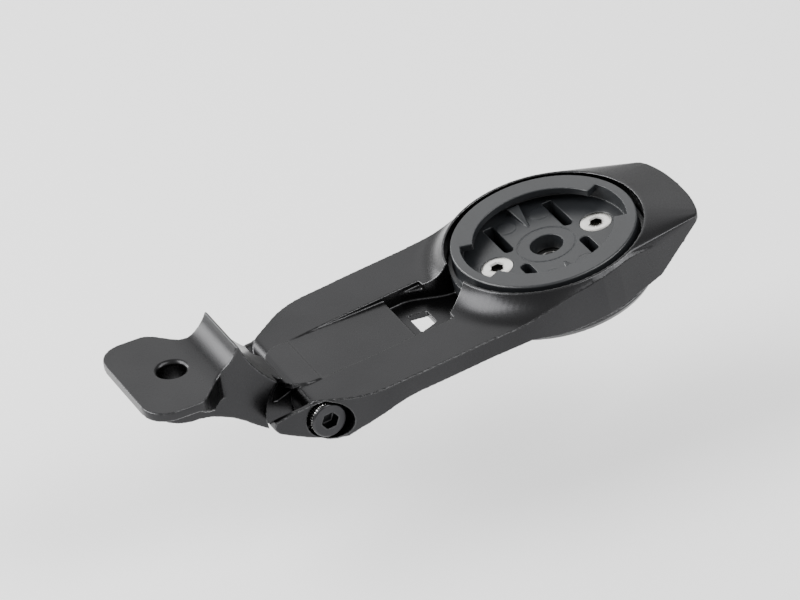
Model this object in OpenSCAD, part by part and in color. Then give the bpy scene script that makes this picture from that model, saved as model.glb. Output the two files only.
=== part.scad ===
// Out-front mount for a cycling computer: a bracket that bolts under a handlebar, and a hinged arm
// whose head holds the quarter-turn cradle for the computer.
// Part frame: the origin is the centre of the fixing hole on the bracket's seat face.
// +X points forward along the bicycle, +Y to the rider's left, and +Z up along the hole's axis.
// Arm frame: the origin is the centre of the cradle's top face. It meets the part frame at the pivot.

/* [Bracket] */
// Width of the seat plate across the bicycle
plate_w = 27.4; // [25:0.2:31]
// Thickness of the seat plate
plate_t = 1.8; // [1.4:0.1:2.6]
// Clearance hole for the M5 fixing bolt
fixing_d = 5.5; // [5.2:0.1:6.4]
// Width of the bracket's body, which carries the saddle and its crest
body_w = 14.8; // [13:0.2:16]
// Height of the saddle's crest above the seat face
crest_h = 4.8; // [3:0.2:6]

/* [Hinge] */
// Tilt of the arm above the seat plate
arm_tilt = 6; // [0:0.5:10]
// Forward distance from the fixing hole to the pivot
pivot_x = 24.0; // [23:0.1:26]
// Drop from the seat face to the pivot
pivot_drop = 12.8; // [12:0.1:14]
// Diameter of the pivot bolt, an M4 socket cap screw
pivot_d = 4; // [3:0.1:4]
// Width of the knuckle between the ears
knuckle_w = 9.2; // [7:0.2:10]

/* [Arm] */
// Width of the arm along its straight part
arm_w = 38; // [34:0.5:40]
// Greatest width of the head
head_w = 41; // [40:0.5:46]
// Distance from the cradle's centre back to the pivot
reach = 54.6; // [52:0.2:60]
// Distance from the cradle's centre to the tip of the nose
nose_x = 28.8; // [27:0.2:32]
// Height of the cradle's top face above the arm's top face
head_rise = 4.0; // [3:0.2:5]
// Width of the sunk panel and of the opening behind the head
panel_w = 15.4; // [12:0.2:18]

/* [Cradle] */
// Outer diameter of the cradle
cradle_d = 36; // [35:0.5:37]
// Inner diameter of the two lips that hold the computer
lip_d = 27.2; // [26.8:0.1:27.6]
// Diameter of the socket below the lips
socket_d = 32.2; // [31.8:0.1:32.6]
// Depth from the top face to the cradle's floor
floor_drop = 3.3; // [3:0.1:3.8]
// Distance between the two cradle screws
screw_pitch = 21.4; // [20:0.2:22]

/* [Under plate] */
// Diameter of the round plate below the head
under_d = 40.6; // [38:0.2:42]
// Thickness of the round plate
under_t = 1.9; // [1.6:0.1:2.4]

/* [Hidden] */
$fn = 96;
eps = 0.01;
big = 200;

alu = [0.30, 0.30, 0.31];
plastic = [0.36, 0.37, 0.39];
black_steel = [0.22, 0.22, 0.23];
steel = [0.80, 0.80, 0.82];
nylon = [0.16, 0.16, 0.17];

// Pivot as seen from the cradle's centre
pivot_z = -8.5;
// Arm body heights in the arm frame
top_z = -head_rise;
rim_z = -0.3;
crease_z = -3.3;
head_floor_z = -6.6;
head_bottom_z = -9.6;
arm_bottom_z = -7.9;
heel_z = -12.9;
rail_nose_r = 2.4;
recess_floor_z = -7.2;
recess_skin = 1.4;
roof_bottom_z = pivot_z + 3.75;
rim_r = 19.6;
pocket_r = 19.2;
cove_r = 26;
rail_end_x = -58;
panel_front_x = -31.6;
panel_rear_x = -52;
panel_sink = 1.0;
// Ears, knuckle and their seats
slot_w = knuckle_w + 1.2;
seat_y = 11;
counterbore_r = 4.05;
ear_inner_y = 8.1;
ear_round = 9.0;
bracket_clear = 9.5;
// Radius about the pivot that the bracket leaves for the roof's rear lip, inside the slot
neck_clear = 7.1;
// Radial clearance of the pivot bolt in its bores
running = 0.05;
washer_r = 3.3;
washer_t = 0.5;
// M4 socket cap screw, and its nut 7 mm across flats
bolt_head_r = 3.5;
bolt_head_h = 3.8;
bolt_chamfer = 0.3;
bolt_hex_r = 1.75;
bolt_hex_deep = 2.2;
nut_r = 4.04;
nut_t = 3.2;
nut_pocket_r = 4.2;
// M3 countersunk screws of the cradle: the cone runs between these depths below the cradle's floor
screw_x = screw_pitch / 2;
screw_d = 3;
screw_head_d = 6.2;
screw_cone_top = 0.2;
screw_cone_bottom = 1.7;
screw_seat_gap = 0.1;
screw_len = 7.9;
// M5 nut 8 mm across flats, held between the head and the cradle
accessory_hole_d = 5.5;
accessory_nut_r = 4.6;
accessory_nut_t = 1.6;
accessory_pocket_r = 4.7;
accessory_core_d = 4.2;
cradle_bottom_z = -6.5;

// Points of an arc round [cx, cy], from angle a to angle b in n steps
function arc(cx, cy, r, a, b, n) =
    [for (i = [0:n]) let (t = a + (b - a) * i / n) [cx + r * cos(t), cy + r * sin(t)]];
// A value that leaves 0 and reaches 1 smoothly as x goes from a to b
function ease(x, a, b) = let (t = min(1, max(0, (x - a) / (b - a)))) t * t * (3 - 2 * t);
// A list of points followed by its mirror image in the X axis, as one outline
function both_sides(half) =
    concat(half, [for (i = [len(half) - 1:-1:0]) [half[i][0], -half[i][1]]]);

// Extrude an XZ outline along Y, from y0 to y1
module along_y(y0, y1) {
    translate([0, y1, 0]) rotate([90, 0, 0]) linear_extrude(y1 - y0) children();
}
// A cylinder along Y, from y0 to y1, through [x, z]
module rod_y(x, z, r, y0, y1) {
    translate([x, y0, z]) rotate([-90, 0, 0]) cylinder(h = y1 - y0, r = r);
}
// Place a child that is drawn in the arm frame
module in_arm() {
    translate([pivot_x, 0, -pivot_drop]) rotate([0, -arm_tilt, 0])
        translate([reach, 0, -pivot_z]) children();
}

// ---- Bracket, drawn in the part frame ----

plate_rear_x = -9.8;
plate_corner_r = 5.2;
crest_x = 11;
crest_t = 0.3;
saddle_r = 7.5;
saddle_a = acos(1 - crest_h / saddle_r);
saddle_x = crest_x - crest_t - saddle_r * sin(saddle_a);
front_r = 22.5;
front_cx = 32.6;
front_cz = 11.15;
belly_r = 11.3;

// Half width of the seat plate at x, from its widest part down to the crest
function plate_half(x) = plate_w / 2 - (plate_w - body_w) / 2 * ease(x, -0.5, 7.5);
plate_half_outline = concat(
    [[plate_rear_x, 0]],
    arc(plate_rear_x + plate_corner_r, plate_w / 2 - plate_corner_r, plate_corner_r, 180, 90, 12),
    [for (x = [-0.5:1:7.5]) [x, plate_half(x)]],
    [[24, body_w / 2]]);
saddle_line = concat(
    [[plate_rear_x, 0], [saddle_x, 0]],
    arc(saddle_x, saddle_r, saddle_r, -90 + saddle_a / 16, -90 + saddle_a, 15));
front_line = arc(front_cx, front_cz, front_r, 196.5, 232, 10);
keel_line = concat([[17, -16.4], [14.4, -14.9], [12.1, -13.2], [10.1, -11.5], [7.8, -9.9], [5.7, -8.9],
    [3.7, -8.1]],
                   arc(1, 3.6, belly_r, 272, 209, 12));

module seat_plate() {
    intersection() {
        translate([0, 0, -big / 2]) linear_extrude(big) polygon(both_sides(plate_half_outline));
        along_y(-plate_w, plate_w)
            polygon(concat(saddle_line, [[9.2, crest_h - 4], [8, -5], [3.4, -4.8], [-0.5, -plate_t],
                                         [plate_rear_x, -plate_t]]));
    }
}
module bracket_body() {
    intersection() {
        along_y(-body_w / 2, body_w / 2)
            polygon(concat(saddle_line, front_line, [[20.2, -7.6], [20.2, -17]], keel_line));
        translate([0, 0, -big / 2]) linear_extrude(big)
            polygon(both_sides(concat([[-9.6, 0], [-9.6, 2.6]],
                arc(-3.4, body_w / 2 - 6.2, 6.2, 170, 90, 8), [[60, body_w / 2]])));
    }
}
// The neck and the knuckle that the pivot bolt passes through
module knuckle() {
    along_y(-knuckle_w / 2, knuckle_w / 2)
        polygon([[12, -9], [14.2, -11.6], [18, -11.5], [22.9, -9.6], [24, -12], [22.8, -16.1],
            [17, -16.6], [12, -14]]);
    rod_y(pivot_x, -pivot_drop, 3.4, -knuckle_w / 2, knuckle_w / 2);
}
module bracket() {
    color(alu) difference() {
        union() {
            seat_plate();
            difference() {
                bracket_body();
                rod_y(pivot_x, -pivot_drop, bracket_clear, -body_w, body_w);
            }
            // Between the ears the body comes closer to the pivot, up to the roof's lip
            difference() {
                intersection() {
                    bracket_body();
                    along_y(-knuckle_w / 2, knuckle_w / 2) square(big, center = true);
                }
                rod_y(pivot_x, -pivot_drop, neck_clear, -body_w, body_w);
                translate([pivot_x - eps, -body_w, -big / 2]) cube([big, 2 * body_w, big]);
            }
            knuckle();
        }
        translate([0, 0, -20]) cylinder(h = 40, d = fixing_d);
        rod_y(pivot_x, -pivot_drop, pivot_d / 2 + running, -knuckle_w, knuckle_w);
    }
}

// ---- Thin washers between the knuckle and the ears ----

module friction_washer(side) {
    y0 = side > 0 ? knuckle_w / 2 : -knuckle_w / 2 - washer_t;
    color(nylon) difference() {
        rod_y(pivot_x, -pivot_drop, washer_r, y0, y0 + washer_t);
        rod_y(pivot_x, -pivot_drop, pivot_d / 2 + 0.1, y0 - 1, y0 + 2);
    }
}
module near_washer() { friction_washer(-1); }
module far_washer() { friction_washer(1); }

// ---- Arm, drawn in the arm frame ----

nose_arc_r = 34.6;
nose_corner_y = 11.6;
nose_corner_a = asin(nose_corner_y / nose_arc_r);
corner_r = 15;
corner_x = -43;
corner_a = 34;
arm_half_outline = concat(
    [[rail_end_x, 0], [rail_end_x, 12]],
    arc(corner_x, arm_w / 2 + 0.1 - corner_r, corner_r, 90 + corner_a, 90, 12),
    [[-31, arm_w / 2 + 0.3]],
    [[-22, arm_w / 2 + 0.3], [-14, arm_w / 2 + 0.7], [-7, head_w / 2 - 0.3], [-2, head_w / 2],
        [2, head_w / 2 - 0.15],
     [6, head_w / 2 - 1.2]],
    [[25.8, 12.1], [26.6, 11.5]],
    arc(nose_x - nose_arc_r, 0, nose_arc_r, nose_corner_a - 2.5, 0, 6));
head_half_outline = [for (p = arm_half_outline) if (p[0] > -3) p];

// Side outline of everything between the arm's top face and its underside
side_line = concat(
    arc(rail_end_x + rail_nose_r, top_z - rail_nose_r, rail_nose_r, 180, 90, 8),
    [[0, top_z], [0, 1], [nose_x + 1, 1], [nose_x + 1, crease_z], [nose_x - 0.3, crease_z - 0.1],
     [15.4, head_bottom_z], [-6, head_bottom_z], [-9, head_bottom_z + 0.4], [-14, arm_bottom_z],
     [-37, arm_bottom_z], [-40, arm_bottom_z - 0.2], [-43, arm_bottom_z - 0.7], [-46.6, -9.7],
         [-50.2, -11.3],
     [-52.2, heel_z + 0.2], [-54, heel_z], [rail_end_x, -11.2]]);

module plan_prism(outline) {
    translate([0, 0, -big / 2]) linear_extrude(big) polygon(both_sides(outline));
}
// The concave ramp that lifts the arm's top face to the cradle's rim
module cove() {
    cove_arc_r = 7.3;
    rotate_extrude()
        polygon(concat([[10, head_floor_z], [10, rim_z], [rim_r, rim_z]],
                       arc(cove_r, top_z + cove_arc_r, cove_arc_r, 210, 270, 16), [[cove_r,
                           head_floor_z]]));
}
// The front of the head, which falls from the rim to the nose
module nose() {
    hull() {
        translate([0, 0, rim_z - 1]) cylinder(h = 1, r = rim_r);
        translate([0, 0, crease_z - 2]) linear_extrude(2) polygon(both_sides(head_half_outline));
        translate([-2, -head_w / 2, crease_z]) cube([4, head_w, crease_z * -1 - 1.4]);
    }
}
// The thin roof that covers the knuckle, behind the rails
module roof() {
    intersection() {
        along_y(-panel_w / 2, panel_w / 2)
            polygon([[-50, roof_bottom_z], [-58, roof_bottom_z], [-60, -5.3], [-60.2, -4.9], [-59.2, -4.2],
                     [-58, -3.7], [-56.8, -3.5], [-50, top_z]]);
        plan_prism([[-60.2, 0], [-59.8, 1.6], [-58.5, 4.2], [-57.4, 6], [-56.2, 7.1], [-54.8, 7.6],
                    [-53, panel_w / 2], [-49, panel_w / 2]]);
    }
}
// One ear: the tail that carries the bolt, outside the bracket's body. Its top slopes inward.
module ear(side) {
    intersection() {
        along_y(-big, big)
            polygon([[-50, -4.4], [-56, -4.5], [-60.5, -4.6], [-64.2, -5.3], [-64.8, -6.7], [-64.1, -7.9],
                     [-62.3, -9.1], [-58.4, -11.4], [-55.6, heel_z], [-54, heel_z], [-50, -11.3]]);
        translate([0, 0, -big / 2]) linear_extrude(big)
            polygon([for (p = [[-50, ear_inner_y], [-63.6, ear_inner_y], [-64.9, 9.6], [-64.7, 12.7],
                [-59.5, 13.3],
                               [-56.5, 13.4], [-52, 16.2], [-50, 17.2]]) [p[0], side * p[1]]]);
        rotate([90, 0, 90]) translate([0, 0, -100]) linear_extrude(100)
            polygon([for (p = [[18, -4.4], [12.6, -4.4], [ear_inner_y - 1, -9], [ear_inner_y - 1, -20],
                [18, -20]])
                     [side * p[0], p[1]]]);
    }
}
// What the ears have inside, close to the knuckle
module ear_boss() {
    rod_y(-reach, pivot_z, ear_round, -ear_inner_y - 0.5, ear_inner_y + 0.5);
}
// The deep recess behind the head, open to below through a small window in its floor
module opening() {
    top_half = concat([[panel_front_x, panel_w / 2]],
                      [for (x = [-28.2:0.8:-18]) [x, panel_w / 2 - 4 * ease(x, -28.6, -18.6)]]);
    window_half = [[-29.3, 3.25], [-25.7, 2.2]];
    translate([0, 0, recess_floor_z]) linear_extrude(10) polygon(both_sides(top_half));
    translate([0, 0, recess_floor_z - 3]) linear_extrude(4) polygon(both_sides(window_half));
}
module arm() {
    color(alu) in_arm() difference() {
        union() {
            intersection() {
                plan_prism(arm_half_outline);
                along_y(-big, big) polygon(side_line);
                union() {
                    translate([-100, -big / 2, -20]) cube([100, big, 20 + top_z]);
                    translate([-eps, -big / 2, -20]) cube([big, big, 20 + crease_z]);
                    cove();
                    nose();
                }
            }
            intersection() {
                plan_prism(arm_half_outline);
                cove();
            }
            along_y(-panel_w / 2, panel_w / 2)
                polygon([[-34, arm_bottom_z], [-33, recess_floor_z - recess_skin],
                    [-10, recess_floor_z - recess_skin],
                         [-10, -7], [-34, -7]]);
            roof();
            ear(1);
            ear(-1);
        }
        // Slot for the knuckle, and room for the bracket's body behind the round of the ears
        along_y(-slot_w / 2, slot_w / 2)
            polygon([[-70, -20], [-70, roof_bottom_z], [-49.2, roof_bottom_z], [-49.2, -20]]);
        difference() {
            along_y(-ear_inner_y, ear_inner_y)
                polygon([[-70, -20], [-70, roof_bottom_z], [-reach, roof_bottom_z], [-reach, -20]]);
            ear_boss();
        }
        // Pivot bore, with a round seat for the bolt head on the near side and a hexagon on the far side
        rod_y(-reach, pivot_z, pivot_d / 2 + running, -30, 30);
        rod_y(-reach, pivot_z, counterbore_r, -30, -seat_y);
        translate([-reach, seat_y, pivot_z]) rotate([-90, 0, 0])
            cylinder(h = 20, r = nut_pocket_r, $fn = 6);
        // Sunk panel between the rails
        along_y(-panel_w / 2, panel_w / 2)
            polygon([[panel_rear_x, top_z], [panel_rear_x, top_z + 3], [-24, top_z + 3],
                [-24, top_z - panel_sink],
                     [panel_front_x, top_z - panel_sink]]);
        opening();
        // Pocket for the cradle, with holes in its floor
        translate([0, 0, head_floor_z]) cylinder(h = 10, r = pocket_r);
        translate([0, 0, -12]) cylinder(h = 10, d = accessory_hole_d);
        translate([0, 0, head_floor_z - accessory_nut_t]) cylinder(h = 5, r = accessory_pocket_r, $fn = 6);
        for (x = [-screw_x, screw_x]) translate([x, 0, -12]) cylinder(h = 10, d = 3.4);
    }
}

// ---- Pivot bolt and its nut, drawn in the arm frame ----

module pivot_bolt() {
    face_y = -seat_y - bolt_head_h;
    color(black_steel) in_arm() difference() {
        union() {
            rod_y(-reach, pivot_z, pivot_d / 2, -seat_y, seat_y + 3.4);
            rod_y(-reach, pivot_z, bolt_head_r, face_y + bolt_chamfer, -seat_y);
            translate([-reach, face_y, pivot_z]) rotate([-90, 0, 0])
                cylinder(h = bolt_chamfer, r1 = bolt_head_r - bolt_chamfer, r2 = bolt_head_r);
        }
        translate([-reach, face_y - eps, pivot_z]) rotate([-90, 0, 0])
            cylinder(h = bolt_hex_deep, r = bolt_hex_r, $fn = 6);
    }
}
module pivot_nut() {
    color(black_steel) in_arm() difference() {
        translate([-reach, seat_y, pivot_z]) rotate([-90, 0, 0]) cylinder(h = nut_t, r = nut_r, $fn = 6);
        rod_y(-reach, pivot_z, pivot_d / 2, seat_y - 1, seat_y + 5);
    }
}

// ---- Cradle and what fastens it, drawn in the arm frame ----

notch_a = 24;
lip_t = 1.4;
module sector(r, a) {
    polygon([[0, 0], [r * cos(a), r * sin(a)], [r * 1.3, 0], [r * cos(a), -r * sin(a)]]);
}
module cradle() {
    color(plastic) in_arm() difference() {
        union() {
            difference() {
                union() {
                    translate([0, 0, cradle_bottom_z]) cylinder(h = -cradle_bottom_z - 0.25, d = cradle_d);
                    translate([0, 0, -0.25]) cylinder(h = 0.25, d1 = cradle_d, d2 = cradle_d - 0.5);
                    translate([0, 0, cradle_bottom_z]) cylinder(h = 3, r = pocket_r - 0.1);
                }
                translate([0, 0, -floor_drop]) cylinder(h = floor_drop - lip_t, d = socket_d);
                translate([0, 0, -lip_t - eps]) cylinder(h = lip_t + 1, d = lip_d);
                for (turn = [0, 180]) rotate([0, 0, turn]) translate([0, 0, -floor_drop])
                    linear_extrude(floor_drop + 1) intersection() {
                        circle(d = socket_d);
                        sector(socket_d / 2, notch_a);
                    }
            }
            // Detent ramps on the two spring tongues
            for (turn = [0, 180]) rotate([0, 0, turn]) intersection() {
                translate([0, 0, -floor_drop - 0.5]) linear_extrude(3) polygon([[-0.15, 7.4],
                    [0.15, 7.4], [1.2, 13.6], [-1.2, 13.6]]);
                rotate([90, 0, 90]) translate([0, 0, -3]) linear_extrude(6)
                    polygon([[7.2, -floor_drop - 0.5], [7.2, -floor_drop], [13.6, -floor_drop + 1.5],
                        [13.6, -floor_drop - 0.5]]);
            }
            // Moulding pads beside the ramps
            for (x = [-3.6, 3.6]) for (y = [-10, 10]) translate([x, y, -floor_drop - 0.5])
                cylinder(h = 0.62, r = 1.9);
        }
        // Engraved ring round the centre hole
        translate([0, 0, -floor_drop - 0.15]) difference() {
            cylinder(h = 1, r = 5.75);
            translate([0, 0, -1]) cylinder(h = 3, r = 5.5);
        }
        translate([0, 0, -10]) cylinder(h = 12, d = 6.4);
        // Slots that free the tongues
        for (x = [-6.4, 6.4]) for (side = [-1, 1]) {
            translate([x, side * 3.7, -10]) cylinder(h = 10 - lip_t - 0.6, r = 0.97);
            translate([x - 0.97, side > 0 ? 3.7 : -12.6, -10]) cube([1.94, 8.9, 10 - lip_t - 0.6]);
        }
        for (x = [-screw_x, screw_x]) translate([x, 0, 0]) {
            translate([0, 0, -10]) cylinder(h = 12, d = 3.3);
            translate([0, 0, -floor_drop - screw_cone_bottom])
                cylinder(h = screw_cone_bottom - screw_cone_top, d1 = screw_d + screw_seat_gap,
                         d2 = screw_head_d + screw_seat_gap);
            translate([0, 0, -floor_drop - screw_cone_top])
                cylinder(h = screw_cone_top + eps, d = screw_head_d + screw_seat_gap);
            translate([0, 0, -floor_drop]) cylinder(h = floor_drop - lip_t, d = screw_head_d + 0.6);
        }
    }
}
module countersunk_screw(x) {
    color(steel) in_arm() translate([x, 0, -floor_drop]) difference() {
        union() {
            translate([0, 0, -screw_cone_top]) cylinder(h = screw_cone_top, d = screw_head_d);
            translate([0, 0, -screw_cone_bottom])
                cylinder(h = screw_cone_bottom - screw_cone_top, d1 = screw_d, d2 = screw_head_d);
            translate([0, 0, -screw_len]) cylinder(h = screw_len - screw_cone_bottom + eps, d = screw_d);
        }
        translate([0, 0, -1.1]) cylinder(h = 2, r = 1.155, $fn = 6);
    }
}
module rear_screw() { countersunk_screw(-screw_x); }
module front_screw() { countersunk_screw(screw_x); }
module accessory_nut() {
    color(steel) in_arm() translate([0, 0, head_floor_z - accessory_nut_t]) difference() {
        cylinder(h = accessory_nut_t, r = accessory_nut_r, $fn = 6);
        translate([0, 0, -1]) cylinder(h = 4, d = accessory_core_d);
    }
}

// ---- Round plate under the head, drawn in the arm frame ----

module under_plate() {
    r = under_d / 2;
    hole_r = accessory_hole_d / 2;
    color(alu) in_arm() difference() {
        translate([0, 0, head_bottom_z]) rotate_extrude()
            polygon([[hole_r, -eps], [r, -eps], [r, -0.5], [r - 1.0, -under_t], [hole_r, -under_t]]);
        for (x = [-screw_x, screw_x]) translate([x, 0, -14]) cylinder(h = 10, d = screw_d);
    }
}

bracket();
near_washer();
far_washer();
arm();
pivot_bolt();
pivot_nut();
cradle();
rear_screw();
front_screw();
accessory_nut();
under_plate();
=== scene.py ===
import bmesh
import bpy
import math
from mathutils import Matrix, Vector


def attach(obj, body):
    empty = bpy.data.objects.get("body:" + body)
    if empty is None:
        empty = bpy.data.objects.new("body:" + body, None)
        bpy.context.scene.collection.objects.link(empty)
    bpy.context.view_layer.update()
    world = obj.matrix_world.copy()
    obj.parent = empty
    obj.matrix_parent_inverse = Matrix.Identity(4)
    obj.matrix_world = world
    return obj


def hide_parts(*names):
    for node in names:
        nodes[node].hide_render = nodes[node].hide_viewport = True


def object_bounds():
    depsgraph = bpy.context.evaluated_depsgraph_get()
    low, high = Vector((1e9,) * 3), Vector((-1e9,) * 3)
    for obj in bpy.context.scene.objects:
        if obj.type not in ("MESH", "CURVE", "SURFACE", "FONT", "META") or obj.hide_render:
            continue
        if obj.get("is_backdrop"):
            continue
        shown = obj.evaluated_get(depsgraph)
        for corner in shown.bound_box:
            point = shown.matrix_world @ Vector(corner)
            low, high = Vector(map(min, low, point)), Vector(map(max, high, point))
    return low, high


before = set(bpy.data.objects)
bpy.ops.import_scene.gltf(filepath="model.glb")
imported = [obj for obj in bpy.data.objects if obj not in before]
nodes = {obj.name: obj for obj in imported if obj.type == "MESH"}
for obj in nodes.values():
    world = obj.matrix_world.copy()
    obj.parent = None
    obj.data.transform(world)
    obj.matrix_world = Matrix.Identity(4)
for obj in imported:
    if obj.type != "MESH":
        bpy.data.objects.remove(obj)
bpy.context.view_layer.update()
MM = 0.001

# Where the arm sits in the part frame: tilted about Y at the pivot
PIVOT = Vector((24.0, 0.0, -12.8)) * MM
REACH = 54.6 * MM
PIVOT_BELOW_RIM = 8.5 * MM
TILT = math.radians(6)


def arm_matrix():
    """The arm frame, whose origin is the centre of the cradle's top face, in the part frame."""
    turn = Matrix.Rotation(-TILT, 4, "Y")
    return Matrix.Translation(PIVOT) @ turn @ Matrix.Translation((REACH, 0, PIVOT_BELOW_RIM))


ARM = arm_matrix()


# ---- Materials ----

def link(tree, a, a_out, b, b_in):
    tree.links.new(a.outputs[a_out], b.inputs[b_in])


# How far an edge's wear reaches, and the cosines between rounded and real normal where it is full and nil
EDGE_REACH = 0.35 * MM
EDGE_FULL = 0.93
EDGE_NONE = 0.997


def edge_mask(tree, radius, low, high):
    """1 along edges and 0 on open surface, from how far a rounded normal leaves the real one."""
    rounded = tree.nodes.new("ShaderNodeBevel")
    rounded.samples = 6
    rounded.inputs["Radius"].default_value = radius
    real = tree.nodes.new("ShaderNodeNewGeometry")
    dot = tree.nodes.new("ShaderNodeVectorMath")
    dot.operation = "DOT_PRODUCT"
    link(tree, rounded, "Normal", dot, 0)
    link(tree, real, "Normal", dot, 1)
    ramp = tree.nodes.new("ShaderNodeMapRange")
    ramp.inputs["From Min"].default_value = high
    ramp.inputs["From Max"].default_value = low
    link(tree, dot, "Value", ramp, "Value")
    return ramp


def finish_material(name, base, worn, rough, metallic, grain, depth, patch, wear):
    """Colour varies in soft patches and lightens along edges; roughness and bump follow a fine grain."""
    mat = bpy.data.materials.new(name)
    mat.use_nodes = True
    t = mat.node_tree
    bsdf = t.nodes["Principled BSDF"]
    bsdf.inputs["Metallic"].default_value = metallic
    where = t.nodes.new("ShaderNodeTexCoord")
    fine = t.nodes.new("ShaderNodeTexNoise")
    fine.inputs["Scale"].default_value = grain
    fine.inputs["Detail"].default_value = 5
    link(t, where, "Object", fine, "Vector")
    broad = t.nodes.new("ShaderNodeTexNoise")
    broad.inputs["Scale"].default_value = patch
    broad.inputs["Detail"].default_value = 2
    link(t, where, "Object", broad, "Vector")

    tone = t.nodes.new("ShaderNodeValToRGB")
    tone.color_ramp.elements[0].position = 0.3
    tone.color_ramp.elements[1].position = 0.7
    tone.color_ramp.elements[0].color = [c * 0.9 for c in base] + [1]
    tone.color_ramp.elements[1].color = [c * 1.1 for c in base] + [1]
    link(t, broad, "Fac", tone, "Fac")

    mask = edge_mask(t, EDGE_REACH, EDGE_FULL, EDGE_NONE)
    patchy = t.nodes.new("ShaderNodeMath")
    patchy.operation = "MULTIPLY"
    link(t, mask, "Result", patchy, 0)
    link(t, fine, "Fac", patchy, 1)
    amount = t.nodes.new("ShaderNodeMath")
    amount.operation = "MULTIPLY"
    amount.use_clamp = True
    amount.inputs[1].default_value = wear
    link(t, patchy, "Value", amount, 0)
    mix = t.nodes.new("ShaderNodeMix")
    mix.data_type = "RGBA"
    t.links.new(amount.outputs[0], mix.inputs[0])
    t.links.new(tone.outputs["Color"], mix.inputs[6])
    mix.inputs[7].default_value = list(worn) + [1]
    t.links.new(mix.outputs[2], bsdf.inputs["Base Color"])

    spread = t.nodes.new("ShaderNodeMapRange")
    spread.inputs["From Min"].default_value = 0.3
    spread.inputs["From Max"].default_value = 0.7
    spread.inputs["To Min"].default_value = rough - 0.03
    spread.inputs["To Max"].default_value = rough + 0.04
    link(t, fine, "Fac", spread, "Value")
    link(t, spread, "Result", bsdf, "Roughness")

    bump = t.nodes.new("ShaderNodeBump")
    bump.inputs["Strength"].default_value = 0.35
    bump.inputs["Distance"].default_value = depth
    link(t, fine, "Fac", bump, "Height")
    link(t, bump, "Normal", bsdf, "Normal")
    return mat


anodised = finish_material("black_anodised", (0.0325, 0.0325, 0.0337), (0.30, 0.30, 0.305), 0.29, 1.0,
                           5200, 0.003 * MM, 55, 1.5)
moulded = finish_material("dark_grey_moulding", (0.0122, 0.0134, 0.0150), (0.055, 0.06, 0.064), 0.35, 0.0,
                          3400, 0.012 * MM, 90, 0.7)
oxide = finish_material("black_oxide", (0.038, 0.038, 0.040), (0.24, 0.24, 0.24), 0.32, 1.0,
                        3800, 0.010 * MM, 200, 0.7)
# Painted shade: the nut's plated steel is made much darker than its own tone, standing in for the shade at
# the bottom of the hole it sits in
plated = finish_material("plated_steel", (0.16, 0.16, 0.155), (0.40, 0.39, 0.38), 0.36, 1.0,
                         4200, 0.006 * MM, 240, 1.0)
nylon = finish_material("nylon", (0.020, 0.020, 0.021), (0.05, 0.05, 0.05), 0.50, 0.0,
                        3000, 0.010 * MM, 150, 0.5)


def turned_material(name, base, rough):
    """Bright steel faced on a lathe: rings round the object's own axis, and painted shade darkening the
    socket.
    """
    mat = finish_material(name, base, (0.9, 0.89, 0.87), rough, 1.0, 2600, 0.004 * MM, 420, 0.8)
    t = mat.node_tree
    bsdf = t.nodes["Principled BSDF"]
    where = t.nodes.new("ShaderNodeTexCoord")
    flat = t.nodes.new("ShaderNodeVectorMath")
    flat.operation = "MULTIPLY"
    flat.inputs[1].default_value = (1, 1, 0)
    link(t, where, "Object", flat, 0)
    depth = t.nodes.new("ShaderNodeSeparateXYZ")
    link(t, where, "Object", depth, "Vector")
    # Painted shade: the colour darkens from just below the head's face downward, standing in for the shade
    # inside the socket
    shade_by_depth = t.nodes.new("ShaderNodeMapRange")
    shade_by_depth.inputs["From Min"].default_value = -0.10 * MM
    shade_by_depth.inputs["From Max"].default_value = -0.45 * MM
    link(t, depth, "Z", shade_by_depth, "Value")
    socket_shade = t.nodes.new("ShaderNodeMix")
    socket_shade.data_type = "RGBA"
    unshaded = bsdf.inputs["Base Color"].links[0].from_socket
    t.links.new(shade_by_depth.outputs["Result"], socket_shade.inputs[0])
    t.links.new(unshaded, socket_shade.inputs[6])
    socket_shade.inputs[7].default_value = (0.07, 0.068, 0.062, 1)
    t.links.new(socket_shade.outputs[2], bsdf.inputs["Base Color"])
    out = t.nodes.new("ShaderNodeVectorMath")
    out.operation = "LENGTH"
    link(t, flat, "Vector", out, 0)
    rings = t.nodes.new("ShaderNodeTexNoise")
    rings.noise_dimensions = "1D"
    rings.inputs["Scale"].default_value = 5200
    rings.inputs["Detail"].default_value = 3
    link(t, out, "Value", rings, "W")
    bump = t.nodes.new("ShaderNodeBump")
    bump.inputs["Strength"].default_value = 0.5
    bump.inputs["Distance"].default_value = 0.012 * MM
    link(t, rings, "Fac", bump, "Height")
    link(t, bump, "Normal", bsdf, "Normal")
    return mat


turned = turned_material("turned_steel", (0.72, 0.71, 0.68), 0.24)
# The knurl is lighter than the bolt's oxide and its tooth edges turn bright: partly tooth wear, partly
# painted highlight standing in for the knurl's glints
knurled = finish_material("knurled_oxide", (0.20, 0.20, 0.20), (0.70, 0.69, 0.68), 0.25, 1.0,
                          3800, 0.010 * MM, 300, 2.2)

LOOKS = {"bracket": anodised, "arm": anodised, "under_plate": anodised, "cradle": moulded,
         "near_washer": nylon, "far_washer": nylon, "pivot_bolt": oxide, "pivot_nut": oxide,
         "rear_screw": turned, "front_screw": turned, "accessory_nut": plated}
for name, look in LOOKS.items():
    mesh = nodes[name].data
    mesh.materials.clear()
    mesh.materials.append(look)

# These CAD nodes' skins are rebuilt in even cells and relaxed a little, which rounds their edges the way
# machining and anodising leave them: cell in millimetres, relaxing steps, share of the faces kept
SKINS = {"bracket": (0.20, 8, 0.25), "arm": (0.16, 4, 0.20), "under_plate": (0.20, 4, 0.25),
         "cradle": (0.12, 2, 0.16), "pivot_bolt": (0.12, 2, 0.4), "pivot_nut": (0.12, 3, 0.4),
         "accessory_nut": (0.12, 1, 0.4)}
WELD_WITHIN = 0.003 * MM
SHARP = math.radians(30)
NEVER = math.radians(85)


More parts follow.
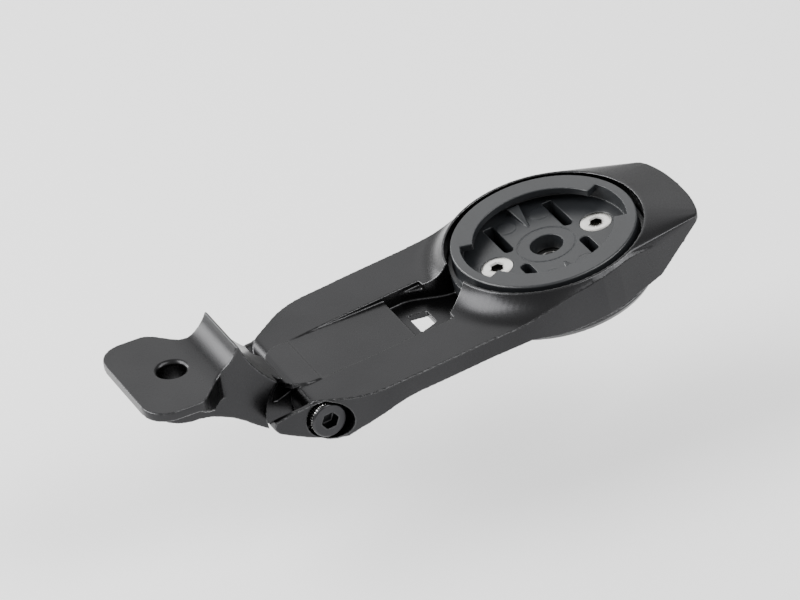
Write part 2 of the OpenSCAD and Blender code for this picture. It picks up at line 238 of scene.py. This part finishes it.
def smoothing_group(name, limit):
    """Smooth shading everywhere but across edges sharper than the limit."""
    group = bpy.data.node_groups.new(name, "GeometryNodeTree")
    group.interface.new_socket("Geometry", in_out="INPUT", socket_type="NodeSocketGeometry")
    group.interface.new_socket("Geometry", in_out="OUTPUT", socket_type="NodeSocketGeometry")
    start, end = group.nodes.new("NodeGroupInput"), group.nodes.new("NodeGroupOutput")
    plain = group.nodes.new("GeometryNodeRemoveAttribute")
    plain.inputs["Name"].default_value = "custom_normal"
    faces = group.nodes.new("GeometryNodeSetShadeSmooth")
    edges = group.nodes.new("GeometryNodeSetShadeSmooth")
    edges.domain = "EDGE"
    edges.inputs["Shade Smooth"].default_value = False
    angle = group.nodes.new("GeometryNodeInputMeshEdgeAngle")
    sharp = group.nodes.new("FunctionNodeCompare")
    sharp.operation = "GREATER_THAN"
    sharp.inputs["B"].default_value = limit
    group.links.new(start.outputs[0], plain.inputs["Geometry"])
    group.links.new(plain.outputs["Geometry"], faces.inputs["Geometry"])
    group.links.new(faces.outputs["Geometry"], edges.inputs["Geometry"])
    group.links.new(angle.outputs["Unsigned Angle"], sharp.inputs["A"])
    group.links.new(sharp.outputs["Result"], edges.inputs["Selection"])
    group.links.new(edges.outputs["Geometry"], end.inputs[0])
    return group


FACETED = smoothing_group("smooth_below_30", SHARP)
ROUNDED = smoothing_group("smooth_all", NEVER)


def shade(obj, group):
    smooth = obj.modifiers.new("smooth", "NODES")
    smooth.node_group = group
    even = obj.modifiers.new("normals", "WEIGHTED_NORMAL")
    even.mode = "FACE_AREA"
    even.weight = 60
    even.keep_sharp = True


def cone_cutter(name, radius, depth, above):
    """A 45 degree cone that opens upward at the part frame's origin; it only cuts and is never shown."""
    bm = bmesh.new()
    sides = 64
    rings = []
    for r, z in ((radius - depth, -depth), (radius, 0.0), (radius + above, above)):
        turns = [2 * math.pi * i / sides for i in range(sides)]
        rings.append([bm.verts.new((r * math.cos(a), r * math.sin(a), z)) for a in turns])
    for low, high in zip(rings, rings[1:]):
        for i in range(sides):
            bm.faces.new((low[i], low[(i + 1) % sides], high[(i + 1) % sides], high[i]))
    bm.faces.new(rings[0])
    bm.faces.new(rings[-1])
    bmesh.ops.recalc_face_normals(bm, faces=bm.faces)
    mesh = bpy.data.meshes.new(name)
    bm.to_mesh(mesh)
    bm.free()
    cutter = bpy.data.objects.new(name, mesh)
    bpy.context.scene.collection.objects.link(cutter)
    cutter.hide_render = True
    cutter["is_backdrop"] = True
    return cutter


# The photo shows a chamfered mouth on the fixing hole, which the CAD bore leaves out. The cone's tip end
# lies inside the 5.5 mm bore, so the mouth that it cuts is 0.5 mm deep
MOUTH_R = 3.25 * MM
CONE_BELOW = 0.75 * MM
CONE_ABOVE = 1 * MM
mouth = cone_cutter("fixing_hole_mouth", MOUTH_R, CONE_BELOW, CONE_ABOVE)

for name in LOOKS:
    node = nodes[name]
    if name == "bracket":
        weld = node.modifiers.new("weld", "WELD")
        weld.merge_threshold = WELD_WITHIN
        cut = node.modifiers.new("mouth", "BOOLEAN")
        cut.operation = "DIFFERENCE"
        cut.solver = "EXACT"
        cut.object = mouth
    if name in SKINS:
        cell, steps, share = SKINS[name]
        skin = node.modifiers.new("skin", "REMESH")
        skin.mode = "VOXEL"
        skin.voxel_size = cell * MM
        relax = node.modifiers.new("relax", "SMOOTH")
        relax.factor = 0.5
        relax.iterations = steps
        thin = node.modifiers.new("thin", "DECIMATE")
        thin.ratio = share
        shade(node, ROUNDED)
    else:
        weld = node.modifiers.new("weld", "WELD")
        weld.merge_threshold = WELD_WITHIN
        shade(node, FACETED)


# ---- Pieces built here ----

def new_piece(name, bm, look, body, place=Matrix.Identity(4)):
    bm.normal_update()
    mesh = bpy.data.meshes.new(name)
    bm.to_mesh(mesh)
    bm.free()
    obj = bpy.data.objects.new(name, mesh)
    obj.matrix_world = place
    bpy.context.scene.collection.objects.link(obj)
    mesh.materials.append(look)
    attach(obj, body)
    return obj


def knurled_band(name, centre, axis_y, radius, length, teeth, height):
    """The straight knurl round a socket cap screw's head: a closed sleeve of teeth with chamfered ends."""
    bm = bmesh.new()
    root = -0.03 * MM
    inside = -0.25 * MM
    front, back = 0.35 * MM, 0.25 * MM
    rows = [(0.0, root), (front, height), (length - back, height), (length, root),
            (length, inside), (0.0, inside)]
    rings = []
    for along, lift in rows:
        ring = []
        for i in range(teeth * 2):
            a = math.pi * i / teeth
            r = radius + (lift if i % 2 == 0 else min(lift, root))
            across, up_by = r * math.cos(a), r * math.sin(a)
            ring.append(bm.verts.new((centre[0] + across, axis_y + along, centre[2] + up_by)))
        rings.append(ring)
    n = teeth * 2
    for low, high in zip(rings, rings[1:] + rings[:1]):
        for i in range(n):
            bm.faces.new((low[i], high[i], high[(i + 1) % n], low[(i + 1) % n]))
    bmesh.ops.recalc_face_normals(bm, faces=bm.faces)
    return new_piece(name, bm, knurled, "arm")


def socket_radius(corner, angle):
    """Distance from the centre to a hexagon's edge, in the direction of the angle."""
    sixth = math.pi / 3
    return corner * math.cos(sixth / 2) / math.cos(angle % sixth - sixth / 2)


# Radius and depth in millimetres down a countersunk screw, from its socket's floor out over the head
# to the tip, and how far each ring is a hexagon instead of a circle
SCREW_ROWS = [(1.22, -1.30, 1), (1.30, -0.14, 1), (1.50, 0.0, 0), (2.20, 0.0, 0), (2.94, 0.0, 0),
              (3.07, -0.06, 0), (3.10, -0.20, 0), (1.55, -1.68, 0), (1.50, -1.80, 0), (1.50, -7.60, 0),
              (1.25, -7.85, 0)]
STEPS_PER_FLAT = 10
SCREW_X = 10.7 * MM
SCREW_FLOOR = 3.3 * MM


def turned_screw(name, node, x):
    """A countersunk socket screw in place of the plain CAD one, standing on the arm's own axis."""
    bm = bmesh.new()
    n = 6 * STEPS_PER_FLAT
    rings = []
    for radius, depth, hexagon in SCREW_ROWS:
        ring = []
        for i in range(n):
            a = 2 * math.pi * i / n
            r = radius + hexagon * (socket_radius(radius, a) - radius)
            ring.append(bm.verts.new((r * math.cos(a) * MM, r * math.sin(a) * MM, depth * MM)))
        rings.append(ring)
    for low, high in zip(rings, rings[1:]):
        for i in range(n):
            bm.faces.new((low[i], low[(i + 1) % n], high[(i + 1) % n], high[i]))
    for ring in (rings[0], rings[-1]):
        bm.faces.new(ring)
    bmesh.ops.recalc_face_normals(bm, faces=bm.faces)
    screw = new_piece(name, bm, turned, "arm", ARM @ Matrix.Translation((x, 0, -SCREW_FLOOR)))
    shade(screw, FACETED)
    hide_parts(node)


turned_screw("rear_screw_turned", "rear_screw", -SCREW_X)
turned_screw("front_screw_turned", "front_screw", SCREW_X)

# The pivot bolt's head as the CAD has it, and how much of it the knurl leaves plain: in front and in all
HEAD_R = 3.5 * MM
HEAD_H = 3.8 * MM
SEAT_Y = 11 * MM
PLAIN_FRONT = 0.45 * MM
PLAIN_ENDS = 0.7 * MM
TEETH = 42
TOOTH_H = 0.12 * MM
knurled_band("bolt_knurl", PIVOT, -SEAT_Y - HEAD_H + PLAIN_FRONT, HEAD_R, HEAD_H - PLAIN_ENDS, TEETH, TOOTH_H)

# ---- Floor, light and camera ----

low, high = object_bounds()
floor_mesh = bpy.data.meshes.new("floor")
wide = 6.0
# The photo shows no surface near the object, and the tilted arm's nose needs this much room
CLEAR_BELOW = 26 * MM
corners = [(-wide, -wide, 0), (wide, -wide, 0), (wide, wide, 0), (-wide, wide, 0)]
floor_mesh.from_pydata(corners, [], [(0, 1, 2, 3)])
floor = bpy.data.objects.new("floor", floor_mesh)
floor.location = (0, 0, low.z - CLEAR_BELOW)
bpy.context.scene.collection.objects.link(floor)
paper = bpy.data.materials.new("paper")
paper.use_nodes = True
sheet = paper.node_tree.nodes["Principled BSDF"].inputs
sheet["Base Color"].default_value = (0.93, 0.93, 0.93, 1)
sheet["Roughness"].default_value = 0.9
sheet["Emission Color"].default_value = (1, 1, 1, 1)
sheet["Emission Strength"].default_value = 0.05
floor_mesh.materials.append(paper)
floor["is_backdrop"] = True

world = bpy.data.worlds.new("studio")
bpy.context.scene.world = world
world.use_nodes = True
sky = world.node_tree.nodes["Background"].inputs
sky["Color"].default_value = (1, 1, 1, 1)
sky["Strength"].default_value = 0.75

MIDDLE = Vector((48.0, 0.0, -6.0)) * MM


def softbox(name, azimuth, elevation, distance, width, height, power):
    """A rectangular light that faces the object from that direction."""
    a, e = math.radians(azimuth), math.radians(elevation)
    out = Vector((math.sin(a) * math.cos(e), -math.cos(a) * math.cos(e), math.sin(e)))
    light = bpy.data.lights.new(name, "AREA")
    light.shape = "RECTANGLE"
    light.size, light.size_y = width, height
    light.energy = power
    lamp = bpy.data.objects.new(name, light)
    lamp.location = MIDDLE + out * distance
    lamp.rotation_euler = (-out).to_track_quat("-Z", "Y").to_euler()
    bpy.context.scene.collection.objects.link(lamp)
    lamp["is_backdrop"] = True
    return lamp


softbox("behind", 163, 37, 1.0, 0.9, 0.5, 2.0)
softbox("left", -110, 36, 0.9, 0.62, 0.62, 13.0)
softbox("front_right", 56, 29, 0.9, 0.40, 0.25, 3.6)
softbox("front_above", 32, 52, 0.9, 0.55, 0.35, 3.8)
softbox("low_behind_left", -147, 16, 0.9, 0.5, 0.28, 4.8)

# One camera fitted to the photo: its right and backward directions, and its place in millimetres
camera_data = bpy.data.cameras.new("camera")
camera_data.lens = 270
camera_data.sensor_width = 36
camera_data.clip_start = 0.05
camera_data.clip_end = 30
camera = bpy.data.objects.new("camera", camera_data)
right = Vector((0.8949, -0.4311, -0.1156)).normalized()
back = Vector((-0.3105, -0.7874, 0.5326)).normalized()
up = back.cross(right).normalized()
right = up.cross(back)
place = Matrix((right, up, back)).transposed().to_4x4()
place.translation = Vector((-301.8, -884.0, 595.3)) * MM
camera.matrix_world = place
bpy.context.scene.collection.objects.link(camera)
bpy.context.scene.camera = camera
